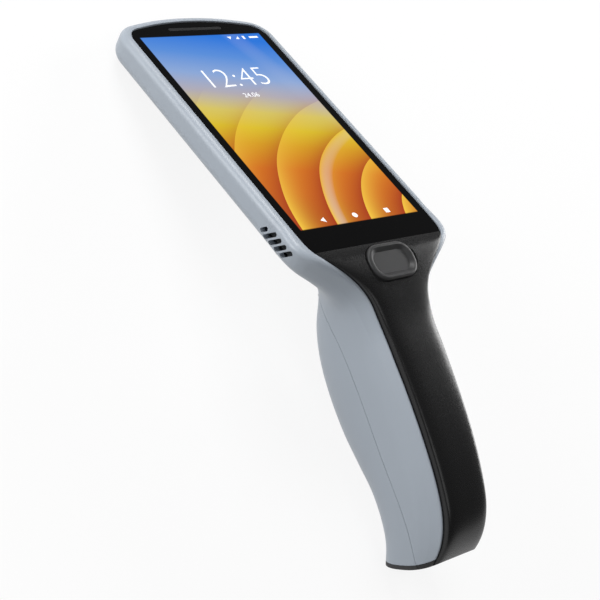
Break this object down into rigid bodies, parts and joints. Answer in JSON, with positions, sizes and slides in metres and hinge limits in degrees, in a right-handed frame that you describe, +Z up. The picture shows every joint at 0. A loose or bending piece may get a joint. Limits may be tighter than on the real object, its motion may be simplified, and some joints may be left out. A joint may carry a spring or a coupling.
{
  "type": "portable barcode data terminal",
  "caption": "Pistol-grip handheld data terminal: flat touch-display head on a curved handle, with a thumb scan button, a scan window at the far end and a hinged battery cover.",
  "frame": {"origin": "middle of the footprint, on the surface the terminal lies on", "axes": "+Z up, +Y from the handle to the far end of the head, X across the display"},
  "size_m": [0.074, 0.225, 0.0555],
  "materials": {
    "grey_housing": "fine satin texture",
    "black_cover": "soft matt",
    "black_rubber": "matt",
    "cover_glass": "polished, black border",
    "light_pipe": "smoked",
    "display": "lit colour display",
    "adhesive": "foam tape",
    "magnesium": "cast",
    "board_green": "solder mask",
    "shield_tin": "tinned",
    "steel": "plain",
    "brass": "knurled",
    "gold": "gold plated",
    "flex_amber": "polyimide",
    "engine_black": "matt",
    "lens": "coated",
    "red_window": "polished",
    "mesh": "acoustic mesh",
    "battery_case": "matt"
  },
  "bodies": {
    "terminal": {"antenna_left": "flex_amber", "antenna_right": "flex_amber", "backup_cell": "steel", "battery_contact_block": "engine_black", "battery_contacts": "gold", "board_shields": "shield_tin", "cover_hinge_pin": "steel", "cover_screw_insert": "brass", "display_flex": "flex_amber", "display_module": "display", "dock_contacts": "gold", "frame_inserts": "brass", "frame_screws": "steel", "front_cover": "black_cover", "front_cover_screws": "steel", "glass_gasket": "adhesive", "main_board": "board_green", "mid_frame": "magnesium", "rear_housing": "grey_housing", "scan_engine": "engine_black", "scan_lenses": "lens", "scan_window": "red_window", "speaker_left": "engine_black", "speaker_mesh_left": "mesh", "speaker_mesh_right": "mesh", "speaker_right": "engine_black", "status_light_bar": "light_pipe", "touch_glass": "cover_glass", "trigger_board": "board_green", "trigger_flex": "flex_amber", "trigger_switch": "engine_black", "vibration_motor": "steel", "window_gasket": "adhesive"},
    "scan_button": {"scan_button": "black_cover", "button_pad": "black_rubber"},
    "battery_cover": {"battery_cover": "grey_housing", "cover_seal": "black_rubber", "cover_heel_pad": "black_rubber", "screw_retainer": "black_rubber"},
    "cover_screw": {"cover_screw": "steel"},
    "battery_pack": {"battery_pack": "battery_case"}
  },
  "joints": [
    {"name": "scan_button_press", "type": "slide", "parent": "terminal", "child": "scan_button", "axis": [0, -0.0333, -0.9994], "range_m": [0, 0.0009], "stiffness_N_per_m": 900, "springref_m": -0.0012},
    {"name": "battery_cover_open", "type": "hinge", "parent": "terminal", "child": "battery_cover", "pos_m": [0, -0.0118, 0.02677], "axis": [1, 0, 0], "range_deg": [0, 60]},
    {"name": "cover_screw_turn", "type": "hinge", "parent": "battery_cover", "child": "cover_screw", "pos_m": [0, -0.10116, 0.02204], "axis": [0, 0.0539, -0.9985], "continuous": true},
    {"name": "battery_tilt", "type": "hinge", "parent": "terminal", "child": "battery_pack", "pos_m": [0, -0.02109, 0.02474], "axis": [1, 0, 0], "range_deg": [0, 15]}
  ],
  "couplings": [
    {"joint": "battery_tilt", "follows": "battery_cover_open", "ratio": 0.25}
  ]
}
